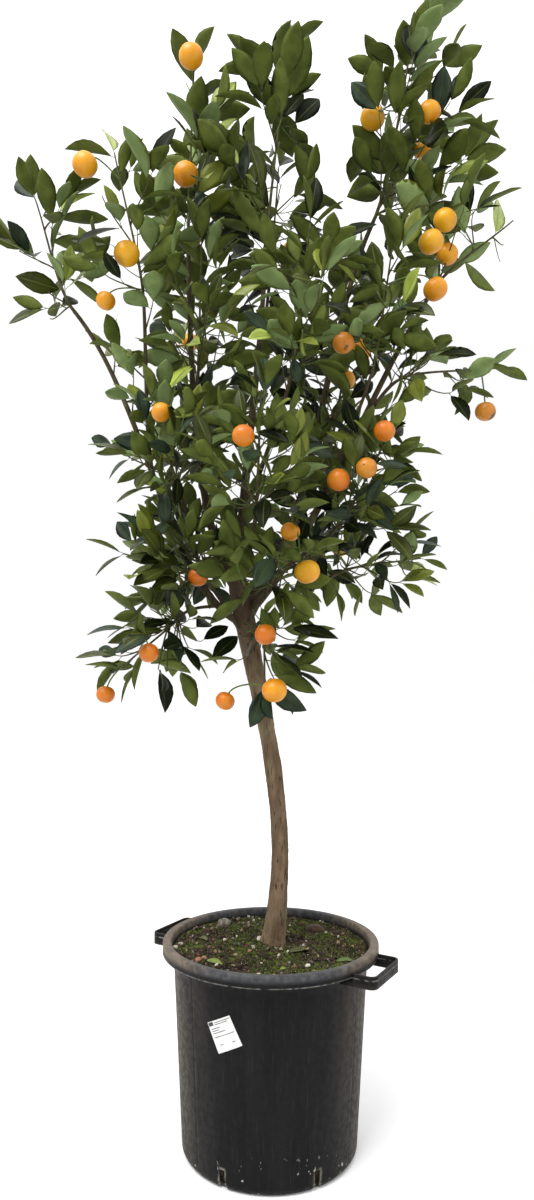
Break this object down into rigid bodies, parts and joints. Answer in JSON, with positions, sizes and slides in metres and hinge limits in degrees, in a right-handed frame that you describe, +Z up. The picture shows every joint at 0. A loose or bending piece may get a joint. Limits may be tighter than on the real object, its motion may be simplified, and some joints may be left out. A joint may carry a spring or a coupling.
{
  "type": "calamondin orange tree",
  "caption": "Calamondin orange tree with ripe fruit: slender leaning stem, rising boughs and masses of small oval leaves, standing in a round black nursery container with side grips.",
  "frame": {"origin": "centre of the container's flat underside, on the ground", "axes": "+Z up, along the stem; -Y towards the front, the side that the picture shows; +X to the viewer's right"},
  "size_m": [0.961, 0.701, 2.0864],
  "materials": {
    "pot_plastic": "black moulded plastic, dusty and worn grey on the rim",
    "soil": "moist dark potting soil with moss and grit",
    "label_paper": "matt white paper",
    "bark": "rough grey-brown bark",
    "foliage": "leathery green leaves, paler beneath, with orange fruit"
  },
  "bodies": {
    "root": {"bough_back_left": "bark", "bough_back_low_left": "bark", "bough_back_low_right": "bark", "bough_back_right": "bark", "bough_back_spire": "bark", "bough_centre": "bark", "bough_centre_skirt": "bark", "bough_heart": "bark", "bough_heart_upper": "bark", "bough_left": "bark", "bough_left_middle": "bark", "bough_left_shoulder": "bark", "bough_left_skirt": "bark", "bough_low_centre": "bark", "bough_low_left": "bark", "bough_low_right": "bark", "bough_mid_left": "bark", "bough_right": "bark", "bough_right_inner": "bark", "bough_right_low": "bark", "bough_right_middle": "bark", "bough_right_spire": "bark", "bough_upper_left": "bark", "foliage_back_left": "foliage", "foliage_back_low_left": "foliage", "foliage_back_low_right": "foliage", "foliage_back_right": "foliage", "foliage_back_spire": "foliage", "foliage_centre_skirt": "foliage", "foliage_centre_spire": "foliage", "foliage_heart": "foliage", "foliage_heart_upper": "foliage", "foliage_left_middle": "foliage", "foliage_left_shoulder": "foliage", "foliage_left_skirt": "foliage", "foliage_left_wing": "foliage", "foliage_low_centre": "foliage", "foliage_low_left": "foliage", "foliage_low_right": "foliage", "foliage_mid_left": "foliage", "foliage_right_inner": "foliage", "foliage_right_low": "foliage", "foliage_right_middle": "foliage", "foliage_right_shoulder": "foliage", "foliage_right_spire": "foliage", "foliage_upper_left": "foliage", "handle_left": "pot_plastic", "handle_right": "pot_plastic", "label": "label_paper", "pot": "pot_plastic", "soil": "soil", "stem": "bark"}
  },
  "joints": []
}
